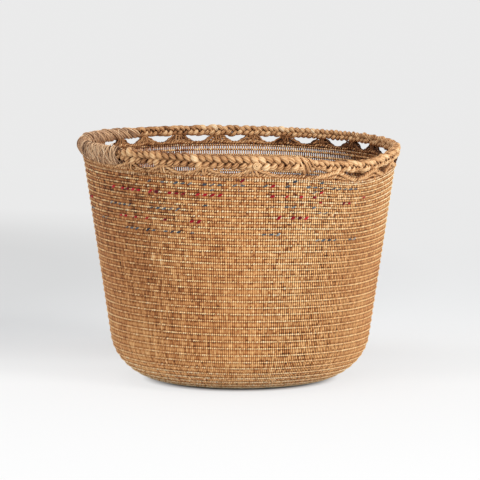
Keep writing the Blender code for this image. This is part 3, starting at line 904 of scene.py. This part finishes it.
def hitch(azimuth, across, low, high, deep, thickness, tone, lean):
    """A turn of cord round the lip and the foot of the plait."""
    turn = np.linspace(0.0, TAU, 33)
    rise = (low + high) / 2 + (high - low) / 2 * np.cos(turn)
    around = azimuth + (across + lean * np.cos(turn)) / LIP_RADIUS
    centre = rim_place(rise, around, deep * np.sin(turn))
    middle = rim_place((low + high) / 2, azimuth + across / LIP_RADIUS, 0.0)
    return tube(
        centre, centre - middle, thickness, thickness * 0.75, 9, tone,
        identity=chance.uniform(0, 9), seam_shade=0.22,
    )


def round_knot(azimuth):
    """Cord coiled twice in a small round knot on the face of the plait."""
    turn = np.linspace(0.0, 2.3 * TAU, 70)
    reach = np.linspace(0.0040, 0.0004, 70)
    around = azimuth + (0.0022 + reach * np.cos(turn)) / LIP_RADIUS
    centre = rim_place(BRAID_FOOT + 0.0036 + reach * np.sin(turn), around, 0.0056 + 0.0010 * turn / turn[-1])
    return tube(
        centre, facing(LIP_WAY, around), 0.00105, 0.0011, 10, 0.76, identity=4.4, seam_shade=0.40, edge=3,
    )


def half_gaps(index):
    """Distances from a tie to the middles of the openings on its two sides."""
    here, before, after = TIES[index], TIES[index - 1], TIES[(index + 1) % len(TIES)]
    return [min(gap % TAU, radians(20)) * LIP_RADIUS / 2 * 0.98 for gap in (here - before, after - here)]


def dress_ties():
    """Hills of gathered strands that fill the way from the lip up to the plait, and their hitches."""
    for index, azimuth in enumerate(TIES):
        front = sin(azimuth) < -0.2
        right = clamp(cos(azimuth) * 1.4)
        near, far = half_gaps(index)
        foot = LIP_TOP - 0.0016
        top = BRAID_FOOT + (0.0004 if front else 0.0012)
        # Painted shade on the back ties, deepening towards the right
        tone = 0.56 if front else 0.45 - 0.20 * right
        layers, thickness = (3, 0.00062) if front else (6, 0.00080)
        crown = 0.0030 if front or azimuth > radians(124) else TIE_CROWN
        crown = min(crown, 0.6 * min(near, far))
        made = []
        for layer in range(layers):
            level = (layer + 1) / layers
            drawn = 1.0 - (0.45 if front else 0.16) * (1 - level)
            for side in (-1, 1):
                made.append(slope(
                    azimuth + chance.normal(0, 0.0005) / LIP_RADIUS, near * drawn * chance.uniform(0.90, 1.0),
                    far * drawn * chance.uniform(0.90, 1.0), foot, top, level * chance.uniform(0.93, 1.0),
                    side * 0.0011, thickness * chance.uniform(0.75, 1.3), tone + chance.normal(0, 0.11),
                    crown, coil=0.0 if front else 0.0005, start=pi * layer,
                ))
        roped = front and cos(azimuth) > 0.5
        ply, coil = (0.00150, 0.00115) if roped else (0.00110, 0.00080)
        for start in (0.0, pi) if front else ():
            made.append(slope(
                azimuth, near * 0.97, far * 0.97, foot + 0.0006, top - 0.0004, 1.0, 0.0024, ply, tone + 0.10,
                crown, coil=coil, start=start,
            ))
        turns = (-0.0018, 0.0016) if front else (-0.0030, -0.0004, 0.0026)
        for across in turns:
            lowest = LIP_TOP + (0.0026 if roped else -0.0016 if front else -0.0008)
            made.append(hitch(
                azimuth, across + chance.normal(0, 0.0004), lowest,
                BRAID_FOOT + (0.0030 if front else 0.0022), 0.0031 if front else 0.0024,
                0.00115 if front else 0.00090, tone + 0.05 + chance.normal(0, 0.06), chance.normal(0, 0.0012),
            ))
        if index == KNOT_TIE:
            made.append(round_knot(azimuth))
        dress(f"tie_knot_{index + 1:02d}", made, CORD_LOOK, f"rim_tie_{index + 1:02d}")


def band(first, last, low, high, samples):
    """Shares of the way along a lap, and the azimuths, middle heights and half heights there."""
    share = np.linspace(0.0, 1.0, samples)
    lowest = low[0] + (low[1] - low[0]) * share
    highest = high[0] + (high[1] - high[0]) * share
    return share, first + (last - first) * share, (lowest + highest) / 2, (highest - lowest) / 2


def winding(
    first, last, low, high, deep, spacing, thickness, slant, tone, grow=0.0, starts=1, flat_foot=0.28
):
    """Cord wound round the rim in leaning turns, between these azimuths and heights over the lip."""
    made = []
    turns = max(1.0, (last - first) * LIP_RADIUS / spacing)
    samples = int(turns * WINDING_SAMPLES) + 1
    share, along, middle, half = band(first, last, low, high, samples)
    half = half + grow
    for start in range(starts):
        turn = share * turns * TAU + start * TAU / starts
        lump = wander(samples, 3 * WINDING_SAMPLES, 0.00055) + wander(samples, 7, 0.00055)
        rise = middle + (half + lump) * np.cos(turn)
        narrow = 1 - flat_foot * clamp(-np.cos(turn))
        out = (deep + grow + lump) * np.sin(turn) * narrow
        around = along + slant * (rise - middle) / LIP_RADIUS
        around = around + wander(samples, 13, 0.0011) / LIP_RADIUS
        centre = rim_place(rise, around, out)
        core = rim_place(middle, around, 0.0)
        width = thickness * (1 + 0.34 * wander(samples, 15).clip(-1.6, 1.6))
        width[[0, -1]] *= 0.3
        tones = tone + 0.13 * wander(samples, WINDING_SAMPLES) + 0.14 * wander(samples, 5)
        made.append(tube(
            centre, centre - core, width, thickness * 0.66, 8, tones,
            identity=chance.uniform(0, 9), seam_shade=0.32,
        ))
    return made


def stuffing(first, last, low, high, deep, tone):
    """The body of the rim under a winding."""
    _, around, middle, half = band(first, last, low, high, 40)
    half[[0, -1]] *= 0.5
    return tube(rim_place(middle, around, 0.0), facing(LIP_WAY + middle, around), half, deep, 14, tone)


def dress_laps():
    """The left lap's thick cover, its thinner tail along the back plait, and the narrow right lap."""
    left, right = LEFT_LAP
    low, high = (LIP_TOP + 0.0026, LIP_TOP + 0.0010), (BRAID_FOOT + 0.0104, BRAID_FOOT + 0.0144)
    made = [stuffing(left, right - 0.03, low, high, 0.0040, 0.22)]
    for sooner, spacing, thickness, slant, tone, grow in (
        (0.02, 0.0016, 0.00090, -0.16, 0.68, 0.0), (0.04, 0.0043, 0.00070, 0.34, 0.76, 0.0006),
        (0.0, 0.0083, 0.00060, -0.70, 0.84, 0.0009), (0.08, 0.0127, 0.00055, 0.9, 0.76, 0.0011),
    ):
        made += winding(left, right - sooner, low, high, 0.0046, spacing, thickness, slant, tone, grow)
    left, right = LEFT_TAIL
    low, high = (BRAID_FOOT + 0.0012, BRAID_FOOT - 0.0008), (BRAID_FOOT + 0.0112, BRAID_FOOT + 0.0132)
    made += winding(left, right, low, high, 0.0042, 0.0170, 0.00120, 1.1, 0.66, starts=9, flat_foot=0.1)
    made += winding(left + 0.1, right, low, high, 0.0042, 0.0150, 0.00080, -0.8, 0.70, grow=0.0006, starts=2)
    dress("lap_winding_left", made, LAP_LOOK, "lap_binding_left")
    left, right = RIGHT_LAP
    low, high = (LIP_TOP + 0.0012, BRAID_FOOT - 0.0006), (BRAID_FOOT + 0.0128, BRAID_FOOT + 0.0114)
    made = [stuffing(left + 0.02, right - 0.02, low, high, 0.0034, 0.44)]
    made += winding(left, right, low, high, 0.0042, 0.0066, 0.00085, -0.40, 0.71, starts=4)
    dress("lap_winding_right", made, CORD_LOOK, "lap_binding_right")


# Floor, light and camera


def dress_stage():
    """A pale floor that runs out to the horizon: white in front, pale grey behind.

    Its own glow keeps the background's level. Round the basket and behind it more of the lit floor
    shows, with the basket's shadow. A painted shadow darkens its colour and glow behind the basket, to
    the left.
    """
    corners = [(x * FLOOR_HALF, y * FLOOR_HALF, -FLOOR_DROP) for x, y in ((-1, -1), (1, -1), (1, 1), (-1, 1))]
    mesh = bpy.data.meshes.new("paper_floor")
    mesh.from_pydata(corners, [], [(0, 1, 2, 3)])
    made = bpy.data.materials.new("paper")
    tree = Tree(made)
    shader = tree.fill("Principled BSDF", Roughness=0.9, Specular_IOR_Level=0.1)
    where = tree.add("TexCoord").outputs["Object"]
    split = tree.add("SeparateXYZ")
    tree.link(where, split.inputs["Vector"])
    forth = split.outputs["Y"]
    # Painted shadow: the floor's colour and glow are darker round a point behind the basket, to its left
    shade = tree.greys(tree.distance(where, *PAINTED_SHADOW_CENTRE), 0.0, 1.2, (
        (0.60, 1 - PAINTED_SHADOW_DEPTH), (0.75, 1 - 0.78 * PAINTED_SHADOW_DEPTH), (0.95, 1 - 0.32 * PAINTED_SHADOW_DEPTH), (1.15, 1.0)
    ))
    tree.link(tree.math("MULTIPLY", shade, FLOOR_ALBEDO), shader.inputs["Base Color"])
    glow = tree.add("Emission")
    level = tree.greys(forth, -0.6, 0.5, (
        (-0.6, 0.985), (-0.05, 0.955), (0.05, 0.90), (0.20, 0.86), (0.45, HORIZON)
    ))
    distance = tree.distance(where, 0.0, 0.0)
    far = tree.greys(distance, 0.0, 5.0, ((0.8, 0.0), (5.0, 1.0)))
    level = tree.math("MULTIPLY", level, tree.math("SUBTRACT", 1.0, far))
    level = tree.math("ADD", level, tree.math("MULTIPLY", far, HORIZON))
    tree.link(level, glow.inputs["Color"])
    tree.link(shade, glow.inputs["Strength"])
    share = tree.greys(forth, -0.5, 3.0, (
        (-0.02, FLOOR_GLOW), (0.12, 0.76), (0.27, 0.25), (0.45, 0.15), (0.8, 0.45), (1.5, 0.9), (3.0, 1.0)
    ))
    clear = tree.greys(distance, 0.088, 0.108, ((0.088, 0.0), (0.108, 1.0)))
    part = tree.math("MAXIMUM", tree.math("MULTIPLY", share, clear), far)
    part = tree.math("MULTIPLY", part, tree.seen_rays())
    tree.show("Material Output", part, shader.outputs["BSDF"], glow.outputs["Emission"])
    mesh.materials.append(made)
    add_object("paper_floor", mesh)


def lamp(name, at, towards, size, power, colour=(1.0, 1.0, 1.0)):
    """A round lamp that points from one place towards another."""
    data = bpy.data.lights.new(name, "AREA")
    data.shape, data.size, data.energy, data.color = "DISK", size, power, colour
    made = add_object(name, data)
    made.location = at
    made.rotation_euler = (Vector(towards) - Vector(at)).to_track_quat("-Z", "Y").to_euler()


def dress_light():
    """Even daylight, and soft lamps at the front right, above, and behind to the left."""
    world = bpy.data.worlds.new("studio")
    tree = Tree(world)
    even = tree.fill("Background", Color=(0.96, 0.98, 1.0, 1.0), Strength=0.66)
    sky = tree.add("Background", Color=(HORIZON, HORIZON, HORIZON * COOL, 1.0))
    tree.show("World Output", tree.seen_rays(), even.outputs["Background"], sky.outputs["Background"])
    bpy.context.scene.world = world
    lamp("key", (1.7, -1.8, 1.35), (0.0, 0.0, 0.14), 1.0, 34, (1.0, 0.98, 0.95))
    lamp("top", (-0.2, -0.6, 2.2), (0.0, 0.0, 0.0), 1.6, 12)
    lamp("back", (-1.5, 2.2, 1.5), (0.0, 0.0, 0.14), 1.6, 9)


def dress_camera():
    data = bpy.data.cameras.new("camera")
    data.sensor_width = 36.0
    data.lens = data.sensor_width * PIXEL_REACH / PIXELS
    camera = add_object("camera", data)
    back, up = cos(CAMERA_ELEVATION), sin(CAMERA_ELEVATION)
    camera.location = (0.0, -CAMERA_DISTANCE * back, AIM_HEIGHT + CAMERA_DISTANCE * up)
    tilt = atan(AIM_BELOW_CENTRE / PIXEL_REACH)
    camera.rotation_euler = (pi / 2 - CAMERA_ELEVATION + tilt, 0.0, 0.0)
    bpy.context.scene.camera = camera


bpy.context.scene.view_settings.view_transform = "Standard"
dress_camera()
dress_light()
dress_stage()
dress_warps()
dress_weft()
dress_bottom()
dress_wool()
dress_plaits()
dress_lip()
dress_ties()
dress_laps()
